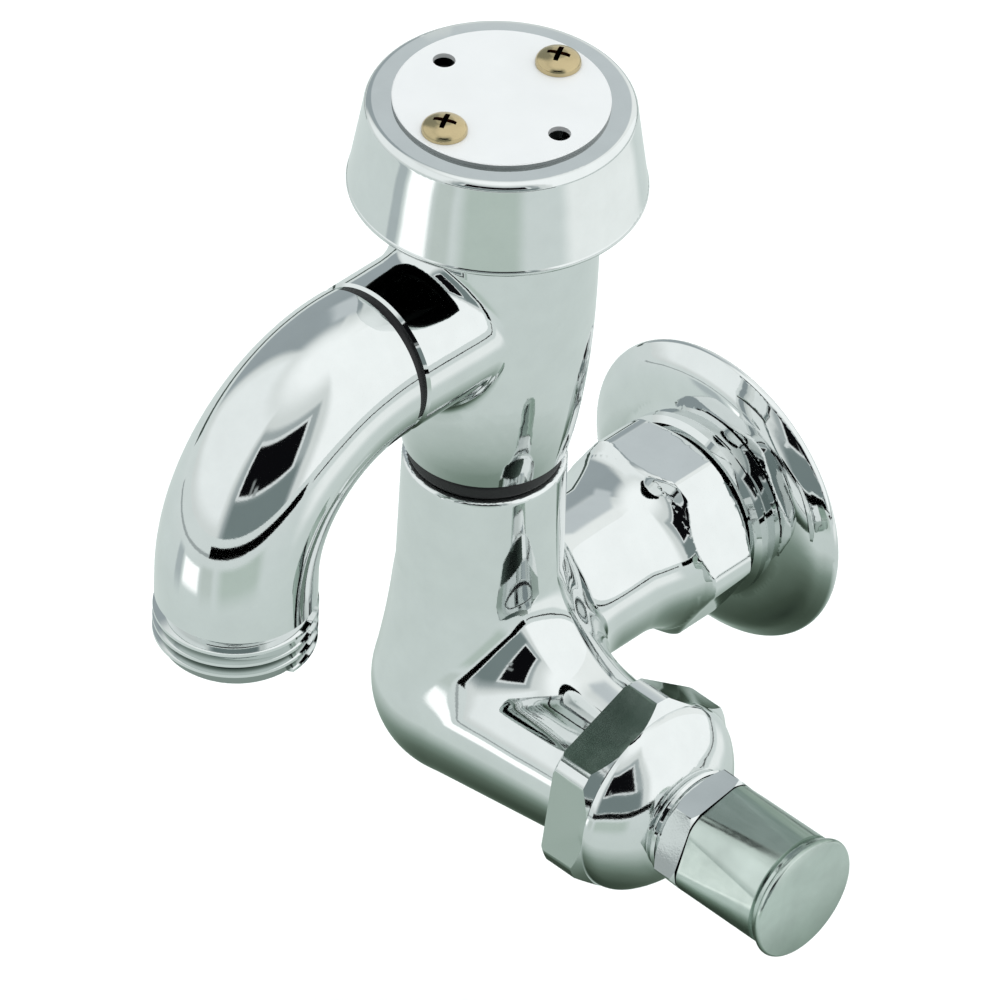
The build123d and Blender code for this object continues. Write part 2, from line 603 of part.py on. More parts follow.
# ---- spout: elbow with a male hose thread -----------------------------------
with BuildPart() as spout:
    with BuildLine(PSP) as way:
        Line((-SPOUT_Y0, 0), (-SPOUT_Y0 - 0.2, 0))
        RadiusArc((-SPOUT_Y0 - 0.2, 0), (-SPOUT_Y0 - 0.2 - BEND_R, -BEND_R), -BEND_R)
        Line((-SPOUT_Y0 - 0.2 - BEND_R, -BEND_R), (-SPOUT_Y0 - 0.2 - BEND_R, SPOUT_END_Z + HOSE_LEN + 0.2 - PORT_Z))
    with BuildSketch(Plane(origin=(0, -YB - SPOUT_Y0, -ZB + PORT_Z), x_dir=(1, 0, 0), z_dir=(0, -1, 0))):
        Circle(SPOUT_R)
    sweep(path=way.wires()[0])
    # end of the spout, with the root of the thread
    YO = -YB - SPOUT_Y0 - 0.2 - BEND_R
    OUT = Plane(origin=(0, YO, -ZB), x_dir=(1, 0, 0), z_dir=(0, -1, 0))
    with BuildSketch(OUT):
        with BuildLine():
            Polyline(
                (0, SPOUT_END_Z + HOSE_LEN + 0.3), (SPOUT_R, SPOUT_END_Z + HOSE_LEN + 0.3), (SPOUT_R - 0.5, SPOUT_END_Z + HOSE_LEN - 0.4), (HOSE_ROOT_R, SPOUT_END_Z + HOSE_LEN - 0.9),
                (HOSE_ROOT_R, SPOUT_END_Z + 0.4), (HOSE_ROOT_R - 0.4, SPOUT_END_Z), (0, SPOUT_END_Z), (0, SPOUT_END_Z + HOSE_LEN + 0.3),
            )
        make_face()
    revolve(axis=Axis((0, YO, -ZB), (0, 0, 1)))
    # threaded shank that enters the breaker's boss
    with BuildSketch(PSP):
        with BuildLine():
            Polyline((-SPOUT_Y0 - 0.1, 0), (-SPOUT_Y0 - 0.1, 9.3), (-SPOUT_Y0 + 2.2, 9.3), (-SPOUT_Y0 + 2.2, 9.65), (-19.2, 9.65), (-18.8, 9.2), (-18.8, 0), (-SPOUT_Y0 - 0.1, 0))
        make_face()
    revolve(axis=ASP)
    # bore
    with BuildLine(PSP) as bore_way:
        Line((-18.0, 0), (-SPOUT_Y0 - 0.2, 0))
        RadiusArc((-SPOUT_Y0 - 0.2, 0), (-SPOUT_Y0 - 0.2 - BEND_R, -BEND_R), -BEND_R)
        Line((-SPOUT_Y0 - 0.2 - BEND_R, -BEND_R), (-SPOUT_Y0 - 0.2 - BEND_R, SPOUT_END_Z - 1 - PORT_Z))
    with BuildSketch(Plane(origin=(0, -YB - 18.0, -ZB + PORT_Z), x_dir=(1, 0, 0), z_dir=(0, -1, 0))):
        Circle(7.6)
    sweep(path=bore_way.wires()[0], mode=Mode.SUBTRACT)
    with BuildSketch(OUT):
        with BuildLine():
            Polyline((0, SPOUT_END_Z - 1), (SPOUT_BORE, SPOUT_END_Z - 1), (SPOUT_BORE, SPOUT_END_Z + 10.0), (7.5, SPOUT_END_Z + 13.0), (0, SPOUT_END_Z + 13.0), (0, SPOUT_END_Z - 1))
        make_face()
    revolve(axis=Axis((0, YO, -ZB), (0, 0, 1)), mode=Mode.SUBTRACT)
    # helical thread
    turns = (HOSE_LEN - 2.6) / HOSE_PITCH
    z0 = SPOUT_END_Z + 1.0
    with BuildLine(Plane(origin=(0, YO, -ZB + z0), x_dir=(1, 0, 0), z_dir=(0, 0, 1))) as lead:
        Helix(pitch=HOSE_PITCH, height=HOSE_PITCH * turns, radius=HOSE_ROOT_R)
    with BuildSketch(Plane(origin=(HOSE_ROOT_R, YO, -ZB + z0), x_dir=(1, 0, 0), z_dir=(0, -1, 0))):
        with BuildLine():
            h = HOSE_R - HOSE_ROOT_R
            Polyline((-0.25, -0.9), (h + 0.3, -0.14), (h + 0.3, 0.14), (-0.25, 0.9), (-0.25, -0.9))
        make_face()
    sweep(path=lead.wires()[0], is_frenet=True)
    # crests turned to size
    with BuildSketch(Plane(origin=(0, YO, -ZB + SPOUT_END_Z - 0.5), x_dir=(1, 0, 0), z_dir=(0, 0, 1))):
        Circle(HOSE_R + 2)
        Circle(HOSE_R, mode=Mode.SUBTRACT)
    extrude(amount=HOSE_LEN, mode=Mode.SUBTRACT)
save(spout, "spout")

with BuildPart() as spout_seal:
    with BuildSketch(Plane(origin=(0, -YB - SPOUT_Y0 + 2.0, -ZB + PORT_Z), x_dir=(1, 0, 0), z_dir=(0, -1, 0))):
        Circle(12.2)
        Circle(9.75, mode=Mode.SUBTRACT)
    extrude(amount=2.0)
save(spout_seal, "spout_seal")

for piece in (
    valve_body, wall_flange, wall_gasket, valve_seat, seat_washer, washer_screw, disc_holder, bonnet, bonnet_gasket, spindle, stem_packing,
    packing_gland, packing_nut, loose_key, breaker_body, breaker_seal, float_guide, breaker_float, float_disc, float_screw, air_cover,
    air_gasket, hood, hood_plate, plate_screws, spout, spout_seal,
):
    b = piece.part.bounding_box()
    print(
        piece.part.label, "solids", len(piece.part.solids()), "valid", piece.part.is_valid, "vol", round(piece.part.volume, 1),
        [round(v, 1) for v in (b.min.X, b.min.Y, b.min.Z, b.max.X, b.max.Y, b.max.Z)],
    )
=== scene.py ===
import bpy, math, json
import numpy as np
from mathutils import Vector, Matrix


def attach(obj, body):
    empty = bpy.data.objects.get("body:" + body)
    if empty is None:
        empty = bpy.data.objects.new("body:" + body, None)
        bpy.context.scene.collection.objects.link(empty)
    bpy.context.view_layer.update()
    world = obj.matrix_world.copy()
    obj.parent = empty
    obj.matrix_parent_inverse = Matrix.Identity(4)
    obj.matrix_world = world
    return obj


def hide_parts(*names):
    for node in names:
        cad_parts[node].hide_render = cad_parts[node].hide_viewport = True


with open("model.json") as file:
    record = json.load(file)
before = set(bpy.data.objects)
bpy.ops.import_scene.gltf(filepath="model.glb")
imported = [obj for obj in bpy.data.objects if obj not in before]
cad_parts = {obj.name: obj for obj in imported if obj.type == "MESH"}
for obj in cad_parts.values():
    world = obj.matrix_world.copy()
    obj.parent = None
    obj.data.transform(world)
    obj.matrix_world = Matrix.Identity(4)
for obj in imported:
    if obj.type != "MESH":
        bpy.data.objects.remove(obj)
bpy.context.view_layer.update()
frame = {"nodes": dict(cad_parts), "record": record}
NODES = frame["nodes"]


# ---------------------------------------------------------------- shading helpers
def new_mat(name):
    m = bpy.data.materials.new(name)
    m.use_nodes = True
    nt = m.node_tree
    nt.nodes.clear()
    out = nt.nodes.new("ShaderNodeOutputMaterial")
    bsdf = nt.nodes.new("ShaderNodeBsdfPrincipled")
    nt.links.new(bsdf.outputs["BSDF"], out.inputs["Surface"])
    return m, nt, bsdf


def put(nt, kind, props=None, **inputs):
    n = nt.nodes.new(kind)
    for k, v in (props or {}).items():
        setattr(n, k, v)
    for k, v in inputs.items():
        sock = n.inputs[k.replace("_", " ")] if k.replace("_", " ") in n.inputs else n.inputs[k]
        if isinstance(v, bpy.types.NodeSocket):
            nt.links.new(v, sock)
        else:
            sock.default_value = v
    return n


def math_node(nt, op, a, b=None, clamp=False):
    n = nt.nodes.new("ShaderNodeMath")
    n.operation = op
    n.use_clamp = clamp
    for i, v in enumerate((a, b)):
        if v is None:
            continue
        if isinstance(v, bpy.types.NodeSocket):
            nt.links.new(v, n.inputs[i])
        else:
            n.inputs[i].default_value = v
    return n.outputs[0]


def ramp(nt, fac, stops):
    n = nt.nodes.new("ShaderNodeValToRGB")
    e = n.color_ramp.elements
    while len(e) > 1:
        e.remove(e[-1])
    e[0].position, e[0].color = stops[0][0], (*stops[0][1], 1)
    for pos, col in stops[1:]:
        q = e.new(pos)
        q.color = (*col, 1)
    nt.links.new(fac, n.inputs[0])
    return n.outputs["Color"]


def mapped(nt, scale, rot=(0, 0, 0), loc=(0, 0, 0)):
    tc = nt.nodes.new("ShaderNodeTexCoord")
    mp = nt.nodes.new("ShaderNodeMapping")
    mp.inputs["Scale"].default_value = scale
    mp.inputs["Rotation"].default_value = rot
    mp.inputs["Location"].default_value = loc
    nt.links.new(tc.outputs["Object"], mp.inputs["Vector"])
    return mp.outputs["Vector"]


def noise(nt, vec, scale, detail=3.0, rough=0.55):
    n = nt.nodes.new("ShaderNodeTexNoise")
    n.inputs["Scale"].default_value = scale
    n.inputs["Detail"].default_value = detail
    n.inputs["Roughness"].default_value = rough
    nt.links.new(vec, n.inputs["Vector"])
    return n.outputs["Fac"]


def bump(nt, height, dist, strength=1.0, normal=None):
    n = nt.nodes.new("ShaderNodeBump")
    n.inputs["Distance"].default_value = dist
    n.inputs["Strength"].default_value = strength
    nt.links.new(height, n.inputs["Height"])
    if normal is not None:
        nt.links.new(normal, n.inputs["Normal"])
    return n.outputs["Normal"]


# polished plating over a cast or turned surface
def chrome(name, base=(0.785, 0.81, 0.805), wave=1.0, rough=0.035, fine=1.0):
    m, nt, b = new_mat(name)
    v = mapped(nt, (1, 1, 1))
    wav = noise(nt, v, 70.0, 1.5, 0.4)
    fin = noise(nt, v, 2600.0, 2.0, 0.6)
    stain = noise(nt, v, 190.0, 4.0, 0.6)
    col = ramp(nt, stain, [(0.25, tuple(0.94 * c for c in base)), (0.75, base)])
    nt.links.new(col, b.inputs["Base Color"])
    b.inputs["Metallic"].default_value = 1.0
    r = math_node(nt, "ADD", math_node(nt, "MULTIPLY", stain, 0.03), rough - 0.012)
    nt.links.new(r, b.inputs["Roughness"])
    n1 = bump(nt, wav, 0.00012 * wave, 1.0)
    n2 = bump(nt, fin, 0.0000016 * fine, 1.0, n1)
    nt.links.new(n2, b.inputs["Normal"])
    return m


def simple(name, base, metallic, rough, scale=900.0, dist=0.00002, spread=0.15, second=120.0):
    m, nt, b = new_mat(name)
    v = mapped(nt, (1, 1, 1))
    f = noise(nt, v, scale, 3.0)
    g = noise(nt, v, second, 3.0)
    col = ramp(nt, g, [(0.25, tuple(max(0, c * (1 - spread)) for c in base)), (0.75, tuple(min(1, c * (1 + spread)) for c in base))])
    nt.links.new(col, b.inputs["Base Color"])
    b.inputs["Metallic"].default_value = metallic
    r = math_node(nt, "ADD", math_node(nt, "MULTIPLY", f, 0.14), rough - 0.07)
    nt.links.new(r, b.inputs["Roughness"])
    nt.links.new(bump(nt, f, dist), b.inputs["Normal"])
    return m


MATS = {
    "body_chrome": chrome("body_chrome"),
    "key_satin": simple("key_satin", (0.53, 0.60, 0.56), 1.0, 0.16, 500, 0.000004, 0.16, 90.0),
    "plate_satin": simple("plate_satin", (0.72, 0.73, 0.735), 0.25, 0.42, 1500, 0.000002, 0.02),
    "screw_brass": simple("screw_brass", (0.52, 0.42, 0.24), 1.0, 0.18, 1500, 0.000006, 0.10),
    "inner_brass": simple("inner_brass", (0.75, 0.58, 0.28), 1.0, 0.28, 1500, 0.00001, 0.10),
    "black_rubber": simple("black_rubber", (0.004, 0.004, 0.005), 0.0, 0.5, 1200, 0.00003, 0.2),
    "graphite_packing": simple("graphite_packing", (0.06, 0.06, 0.065), 0.0, 0.45, 2000, 0.00003, 0.3),
    "float_plastic": simple("float_plastic", (0.83, 0.82, 0.76), 0.0, 0.4, 800, 0.00001, 0.03),
    "steel_screw": simple("steel_screw", (0.60, 0.60, 0.61), 1.0, 0.25, 1500, 0.00001, 0.08),
    "foam": simple("foam", (0.11, 0.11, 0.115), 0.0, 0.8, 1800, 0.00012, 0.3),
}


def blend_base(m, mask_of, col, rough=None):
    """Lay a second colour, and perhaps another roughness, over a material where mask_of says so."""
    nt = m.node_tree
    b = next(n for n in nt.nodes if n.type == "BSDF_PRINCIPLED")
    mask = mask_of(nt)
    old = b.inputs["Base Color"].links[0].from_socket
    mix = nt.nodes.new("ShaderNodeMix")
    mix.data_type = "RGBA"
    nt.links.new(mask, mix.inputs["Factor"])
    nt.links.new(old, mix.inputs["A"])
    mix.inputs["B"].default_value = (*col, 1)
    nt.links.new(mix.outputs["Result"], b.inputs["Base Color"])
    if rough is not None:
        old = b.inputs["Roughness"].links[0].from_socket
        step = math_node(nt, "MULTIPLY", mask, rough)
        nt.links.new(math_node(nt, "ADD", old, step), b.inputs["Roughness"])
    return m


def hood_inside_shade(nt):
    """1 on faces that look toward the upright axis of the valve, and on the underside of the roof near it; there the
    hood's inside is painted near black as painted shade.
    """
    geo = nt.nodes.new("ShaderNodeNewGeometry")
    pos = nt.nodes.new("ShaderNodeSeparateXYZ")
    nor = nt.nodes.new("ShaderNodeSeparateXYZ")
    nt.links.new(geo.outputs["Position"], pos.inputs[0])
    nt.links.new(geo.outputs["True Normal"], nor.inputs[0])
    y = math_node(nt, "ADD", pos.outputs["Y"], 0.0594)
    dot = math_node(nt, "ADD", math_node(nt, "MULTIPLY", pos.outputs["X"], nor.outputs["X"]), math_node(nt, "MULTIPLY", y, nor.outputs["Y"]))
    side = math_node(nt, "LESS_THAN", dot, -0.0005)
    roof = math_node(nt, "LESS_THAN", nor.outputs["Z"], -0.6)
    inner = math_node(nt, "LESS_THAN", math_node(nt, "SQRT", math_node(nt, "ADD", math_node(nt, "MULTIPLY", pos.outputs["X"], pos.outputs["X"]), math_node(nt, "MULTIPLY", y, y))), 0.0228)
    return math_node(nt, "MAXIMUM", side, math_node(nt, "MULTIPLY", roof, inner))


def bonnet_flats(nt, *turns):
    """1 on those flats of the bonnet that face turns, in degrees from up toward -Y; 0 on its turned parts and corners.
    The flats it picks carry a painted reflection.
    """
    tc = nt.nodes.new("ShaderNodeTexCoord")
    geo = nt.nodes.new("ShaderNodeNewGeometry")
    pos = nt.nodes.new("ShaderNodeSeparateXYZ")
    nor = nt.nodes.new("ShaderNodeSeparateXYZ")
    nt.links.new(tc.outputs["Object"], pos.inputs[0])
    nt.links.new(geo.outputs["True Normal"], nor.inputs[0])
    flat = math_node(nt, "LESS_THAN", math_node(nt, "ABSOLUTE", nor.outputs["X"]), 0.02)
    a = math_node(nt, "GREATER_THAN", pos.outputs["X"], 0.0337)
    c = math_node(nt, "LESS_THAN", pos.outputs["X"], 0.0423)
    side = None
    for t in turns:
        t = math.radians(t)
        along = math_node(nt, "ADD", math_node(nt, "MULTIPLY", nor.outputs["Y"], -math.sin(t)), math_node(nt, "MULTIPLY", nor.outputs["Z"], math.cos(t)))
        hit = math_node(nt, "GREATER_THAN", along, 0.9945)
        side = hit if side is None else math_node(nt, "MAXIMUM", side, hit)
    return math_node(nt, "MULTIPLY", math_node(nt, "MULTIPLY", flat, side), math_node(nt, "MULTIPLY", a, c))


def upper_flat_painted_dark(nt):
    """The upper front flat, painted dark grey-green as a painted reflection, in a mottled pattern."""
    v = mapped(nt, (1, 1, 1))
    f = noise(nt, v, 260.0, 4.0, 0.65)
    m = nt.nodes.new("ShaderNodeMapRange")
    m.inputs["From Min"].default_value = 0.30
    m.inputs["From Max"].default_value = 0.70
    m.inputs["To Min"].default_value = 0.80
    m.inputs["To Max"].default_value = 1.0
    nt.links.new(f, m.inputs["Value"])
    return math_node(nt, "MULTIPLY", bonnet_flats(nt, 23.0), m.outputs["Result"])


def upper_side_shade(nt):
    """Fades in on faces that look up and toward +Y, broken into streaks along the key; there the key is painted dark
    grey-green as painted shade.
    """
    geo = nt.nodes.new("ShaderNodeNewGeometry")
    nor = nt.nodes.new("ShaderNodeSeparateXYZ")
    own = nt.nodes.new("ShaderNodeVectorTransform")
    own.vector_type = "NORMAL"
    own.convert_from = "WORLD"
    own.convert_to = "OBJECT"
    nt.links.new(geo.outputs["True Normal"], own.inputs[0])
    nt.links.new(own.outputs[0], nor.inputs[0])
    lean = math_node(nt, "ADD", math_node(nt, "MULTIPLY", nor.outputs["Z"], 0.82), math_node(nt, "MULTIPLY", nor.outputs["Y"], 0.57))
    m = nt.nodes.new("ShaderNodeMapRange")
    m.interpolation_type = "SMOOTHSTEP"
    m.inputs["From Min"].default_value = 0.30
    m.inputs["From Max"].default_value = 1.05
    nt.links.new(lean, m.inputs["Value"])
    f = noise(nt, mapped(nt, (60.0, 900.0, 900.0)), 1.0, 3.0, 0.6)
    return math_node(nt, "MULTIPLY", m.outputs["Result"], math_node(nt, "ADD", math_node(nt, "MULTIPLY", f, 0.6), 0.55), True)


def shade_off_top(nt):
    """1 on faces that do not look up; on the air cover these are painted near black as painted shade."""
    geo = nt.nodes.new("ShaderNodeNewGeometry")
    nor = nt.nodes.new("ShaderNodeSeparateXYZ")
    nt.links.new(geo.outputs["True Normal"], nor.inputs[0])
    return math_node(nt, "LESS_THAN", nor.outputs["Z"], 0.5)


# the hood's inside is painted near black: painted shade under the cap
MATS["hood_chrome"] = blend_base(chrome("hood_chrome", wave=0.8), hood_inside_shade, (0.008, 0.009, 0.009), 0.35)
# the three front flats are painted a darker grey-green as a painted reflection, and also made rougher; the back flats
# keep the plain plating
MATS["bonnet_chrome"] = blend_base(chrome("bonnet_chrome", rough=0.06, wave=1.2, fine=2.0), lambda nt: bonnet_flats(nt, 23.0, 83.0, 143.0), (0.47, 0.53, 0.49), 0.13)
# the upper front flat is painted dark grey-green, mottled: painted reflection
MATS["bonnet_chrome"] = blend_base(MATS["bonnet_chrome"], upper_flat_painted_dark, (0.13, 0.18, 0.15))
# the air cover's top stays light grey, its sides and underside are painted near black: painted shade under the hood
MATS["air_cover_shaded_sides"] = blend_base(simple("air_cover_shaded_sides", (0.62, 0.64, 0.63), 0.4, 0.40, 1500, 0.00001, 0.10), shade_off_top, (0.012, 0.013, 0.012))
# the key's upper side is painted dark grey-green, in streaks: painted shade
MATS["key_shaded_top"] = blend_base(simple("key_shaded_top", (0.55, 0.62, 0.58), 1.0, 0.16, 500, 0.000004, 0.16, 90.0), upper_side_shade, (0.19, 0.27, 0.22))


def thread_groove_shade(nt):
    """1 low in the grooves of the hose thread, which are painted darker as painted shade."""
    tc = nt.nodes.new("ShaderNodeTexCoord")
    pos = nt.nodes.new("ShaderNodeSeparateXYZ")
    nt.links.new(tc.outputs["Object"], pos.inputs[0])
    y = math_node(nt, "ADD", pos.outputs["Y"], 0.1168)
    r = math_node(nt, "SQRT", math_node(nt, "ADD", math_node(nt, "MULTIPLY", pos.outputs["X"], pos.outputs["X"]), math_node(nt, "MULTIPLY", y, y)))
    deep = nt.nodes.new("ShaderNodeMapRange")
    deep.interpolation_type = "SMOOTHSTEP"
    deep.inputs["From Min"].default_value = 0.01325
    deep.inputs["From Max"].default_value = 0.01245
    nt.links.new(r, deep.inputs["Value"])
    out = math_node(nt, "GREATER_THAN", r, 0.0105)
    low = math_node(nt, "LESS_THAN", pos.outputs["Z"], 0.0412)
    return math_node(nt, "MULTIPLY", math_node(nt, "MULTIPLY", deep.outputs["Result"], out), low)


def cross_recess_shade(nt):
    """1 inside the cross recesses of the two plate screws, which are painted dark amber as painted shade."""
    geo = nt.nodes.new("ShaderNodeNewGeometry")
    pos = nt.nodes.new("ShaderNodeSeparateXYZ")
    nor = nt.nodes.new("ShaderNodeSeparateXYZ")
    nt.links.new(geo.outputs["Position"], pos.inputs[0])
    nt.links.new(geo.outputs["True Normal"], nor.inputs[0])
    y = math_node(nt, "SUBTRACT", math_node(nt, "ABSOLUTE", math_node(nt, "ADD", pos.outputs["Y"], 0.0594)), 0.013)
    r = math_node(nt, "SQRT", math_node(nt, "ADD", math_node(nt, "MULTIPLY", pos.outputs["X"], pos.outputs["X"]), math_node(nt, "MULTIPLY", y, y)))
    inside = math_node(nt, "LESS_THAN", r, 0.00225)
    wall = math_node(nt, "MAXIMUM", math_node(nt, "LESS_THAN", nor.outputs["Z"], 0.5), math_node(nt, "LESS_THAN", pos.outputs["Z"], 0.1167))
    return math_node(nt, "MULTIPLY", inside, wall)


# the screws' cross recesses are painted dark amber: painted shade
MATS["screw_recessed"] = blend_base(simple("screw_recessed", (0.54, 0.44, 0.255), 1.0, 0.18, 1500, 0.000006, 0.10), cross_recess_shade, (0.15, 0.07, 0.022))
# the thread grooves are painted darker grey: painted shade
MATS["spout_chrome"] = blend_base(chrome("spout_chrome"), thread_groove_shade, (0.30, 0.34, 0.32))


def plate_rim_shade(nt):
    """1 on the plate's cut rim, not in its holes; the rim is painted dark grey as a painted shadow line."""
    geo = nt.nodes.new("ShaderNodeNewGeometry")
    pos = nt.nodes.new("ShaderNodeSeparateXYZ")
    nor = nt.nodes.new("ShaderNodeSeparateXYZ")
    nt.links.new(geo.outputs["Position"], pos.inputs[0])
    nt.links.new(geo.outputs["True Normal"], nor.inputs[0])
    y = math_node(nt, "ADD", pos.outputs["Y"], 0.0594)
    far_out = math_node(nt, "GREATER_THAN", math_node(nt, "SQRT", math_node(nt, "ADD", math_node(nt, "MULTIPLY", pos.outputs["X"], pos.outputs["X"]), math_node(nt, "MULTIPLY", y, y))), 0.0165)
    return math_node(nt, "MULTIPLY", far_out, math_node(nt, "LESS_THAN", math_node(nt, "ABSOLUTE", nor.outputs["Z"]), 0.5))


# the plate's rim is painted dark grey: painted shadow line around the plate
MATS["plate_shaded_rim"] = blend_base(simple("plate_shaded_rim", (0.72, 0.73, 0.735), 0.25, 0.42, 1500, 0.000002, 0.02), plate_rim_shade, (0.24, 0.26, 0.265))
OWN = {"plate_screws": "screw_recessed", "spout": "spout_chrome", "hood_plate": "plate_shaded_rim", "loose_key": "key_shaded_top", "hood": "hood_chrome", "bonnet": "bonnet_chrome", "air_cover": "air_cover_shaded_sides"}
SLOT = {s["node"]: s["material_slot"] for s in frame["record"]["subparts"]}


# weld the mesh where it was split and shade it smooth under an angle
def smooth_group(angle_deg):
    g = bpy.data.node_groups.new("smooth_by_angle_%d" % angle_deg, "GeometryNodeTree")
    g.interface.new_socket("Geometry", in_out="INPUT", socket_type="NodeSocketGeometry")
    g.interface.new_socket("Geometry", in_out="OUTPUT", socket_type="NodeSocketGeometry")
    gi = g.nodes.new("NodeGroupInput")
    go = g.nodes.new("NodeGroupOutput")
    weld = g.nodes.new("GeometryNodeMergeByDistance")
    weld.inputs["Distance"].default_value = 2e-6
    ea = g.nodes.new("GeometryNodeInputMeshEdgeAngle")
    lt = g.nodes.new("FunctionNodeCompare")
    lt.data_type = "FLOAT"
    lt.operation = "LESS_THAN"
    lt.inputs[1].default_value = math.radians(angle_deg)
    sf = g.nodes.new("GeometryNodeSetShadeSmooth")
    sf.domain = "FACE"
    sf.inputs["Shade Smooth"].default_value = True
    se = g.nodes.new("GeometryNodeSetShadeSmooth")
    se.domain = "EDGE"
    g.links.new(gi.outputs[0], weld.inputs["Geometry"])
    g.links.new(weld.outputs["Geometry"], sf.inputs["Geometry"])
    g.links.new(sf.outputs["Geometry"], se.inputs["Geometry"])
    g.links.new(ea.outputs["Unsigned Angle"], lt.inputs[0])
    g.links.new(lt.outputs["Result"], se.inputs["Shade Smooth"])
    g.links.new(se.outputs["Geometry"], go.inputs[0])
    return g


SMOOTH = smooth_group(28)
for name, o in NODES.items():
    o.data.materials.clear()
    o.data.materials.append(MATS[OWN.get(name, SLOT[name])])
    md = o.modifiers.new("smooth", "NODES")
    md.node_group = SMOOTH

# ---------------------------------------------------------------- cast body, grown as one smooth skin
# works in millimetres; u, v, w are x, y + 59.4, z + 7.4: the tube stands on w, the bonnet arm lies on u, the inlet arm on v
def poly_sdf(pts, a, b):
    """Signed distance to a closed polygon in the plane, negative inside."""
    d2 = np.full(a.shape, 1e9)
    sign = np.ones(a.shape)
    n = len(pts)
    for i in range(n):
        x0, y0 = pts[i - 1]
        x1, y1 = pts[i]
        ex, ey = x1 - x0, y1 - y0
        L = ex * ex + ey * ey
        if L < 1e-12:
            continue
        wx, wy = a - x0, b - y0
        t = np.clip((wx * ex + wy * ey) / L, 0, 1)
        bx, by = wx - ex * t, wy - ey * t
        d2 = np.minimum(d2, bx * bx + by * by)
        c1, c2, c3 = b >= y0, b < y1, ex * wy > ey * wx
        flip = (c1 & c2 & c3) | (~c1 & ~c2 & ~c3)
        sign = np.where(flip, -sign, sign)
    return sign * np.sqrt(d2)


def smin(a, b, k):
    h = np.maximum(k - np.abs(a - b), 0.0) / k
    return np.minimum(a, b) - h * h * k * 0.25


def smax(a, b, k):
    return -smin(-a, -b, k)


def round_cone(rho, t, r1, r2, h):
    """Two balls r1 at t = 0 and r2 at t = h, with the cone that touches both."""
    b = (r1 - r2) / h
    a = math.sqrt(1 - b * b)
    k = -b * rho + a * t
    return np.where(k < 0, np.hypot(rho, t) - r1, np.where(k > a * h, np.hypot(rho, t - h) - r2, rho * a + t * b - r1))


def hexagon(a, b, apothem, r, turn):
    """Signed distance to a hexagon with rounded corners; turn is the angle of its first corner."""
    ap = apothem - r
    ang = np.arctan2(b, a) - turn
    rad = np.hypot(a, b)
    seg = math.pi / 3
    ang = np.mod(ang, seg) - seg / 2
    x, y = rad * np.cos(ang), rad * np.sin(ang)
    half = ap * math.tan(seg / 2)
    dx = x - ap
    dy = np.abs(y) - half
    out = np.where(dy > 0, np.hypot(np.maximum(dx, 0), dy), dx)
    return np.where((dy > 0) & (dx < 0), np.maximum(dx, dy * math.cos(seg / 2) + dx * math.sin(seg / 2)), out) - r


ARM_X1, ARM_R1, YB, ZB = 33.2, 13.75, 59.4, 7.4
WATERWAYS = (
    ("w", [(25.5, -1), (25.5, 4.0), (28.5, 8.5), (35.5, 8.5), (36.5, 10.5), (48.4, 10.5), (49.2, 11.3), (50.5, 11.3), (50.5, -1)]),
    ("u", [(-8.5, -1), (-8.5, 4.5), (-5.5, 7.2), (4.6, 7.2), (4.6, 7.0), (9.0, 7.0), (9.0, 11.3), (ARM_X1 + 1.5, 11.3), (ARM_X1 + 1.5, -1)]),
    ("v", [(3.5, -1), (3.5, 4.4), (6.0, 6.8), (36.4, 6.8), (38.2, 9.3), (56.4, 9.3), (57.6, 10.3), (59.5, 10.3), (59.5, -1)]),
)


def ease(x, lo, hi):
    t = np.clip((x - lo) / (hi - lo), 0, 1)
    return t * t * (3 - 2 * t)


def body_skin(u, v, w):
    rw, ru = np.hypot(u, v), np.hypot(v, w)
    wi = w - ZB
    rv = np.hypot(u, wi)
    # outlet tube leaning in a little toward its rim, bonnet arm and inlet arm, each drawn out of the round chamber
    tube = smin(np.maximum(rw - (14.15 - 0.4 * np.clip((w - 20) / 29.2, -1, 1)), -w), round_cone(rw, w, 17.3, 14.2, 19.0), 2.0)
    arm = round_cone(ru, u, 17.3, 17.3 - 0.107 * 60, 60.0)
    flare = 14.0 + 2.3 * np.clip((v - 29.5) / 8.0, 0, 1) ** 2
    inlet = np.maximum(rv - flare, np.maximum(-v, v - 39.0))
    # the crotches are filled generously
    su, sv, sw = ease(u, -2.0, 12.0), ease(v, 0.0, 12.0), ease(w, -2.0, 12.0)
    skin = smin(tube, arm, 0.3 + K_TRUNK * su * sw * (0.25 + 0.75 * ease(v, -16.0, -2.0)))
    skin = smin(skin, inlet, 0.3 + K_ARMS * sv)
    skin = smax(skin, w - 49.2, 0.8)
    skin = smax(skin, u - ARM_X1, 0.5)
    # hexagon, corners turned down at both ends
    hx = hexagon(u, wi, 16.7, 4.5, 0.0)
    cone = poly_sdf([(36.8, -1), (36.8, 15.4), (39.4, 18.4), (48.0, 18.4), (49.6, 16.3), (49.6, -1)], v, rv)
    hx = smax(hx, cone, 0.5)
    skin = smin(skin, hx, 0.6)
    # collar and round tail behind it
    tail = poly_sdf([(48.6, -1), (48.6, 14.6), (50.5, 14.6), (50.5, 12.6), (57.0, 12.6), (57.4, 12.2), (57.4, -1)], v, rv)
    skin = np.minimum(skin, tail)
    # waterways
    for axis, pts in WATERWAYS:
        hole = poly_sdf(pts, {"w": w, "u": u, "v": v}[axis], {"w": rw, "u": ru, "v": rv}[axis])
        skin = np.maximum(skin, -hole)
    ax, aw = -11.2 / 22.4, 19.4 / 22.4
    du, dw = u - 15.2, w - 7.6
    t = du * ax + dw * aw
    slant = np.hypot(v, du * aw - dw * ax) - 3.9
    slant = np.maximum(slant, np.maximum(-t, t - 21.5))
    return np.maximum(skin, -slant)


def grad(f, p, h=0.01):
    g = np.empty_like(p)
    for i in range(3):
        q = p.copy()
        q[:, i] += h
        s = p.copy()
        s[:, i] -= h
        g[:, i] = (f(*q.T) - f(*s.T)) / (2 * h)
    return g / np.maximum(np.linalg.norm(g, axis=1), 1e-9)[:, None]


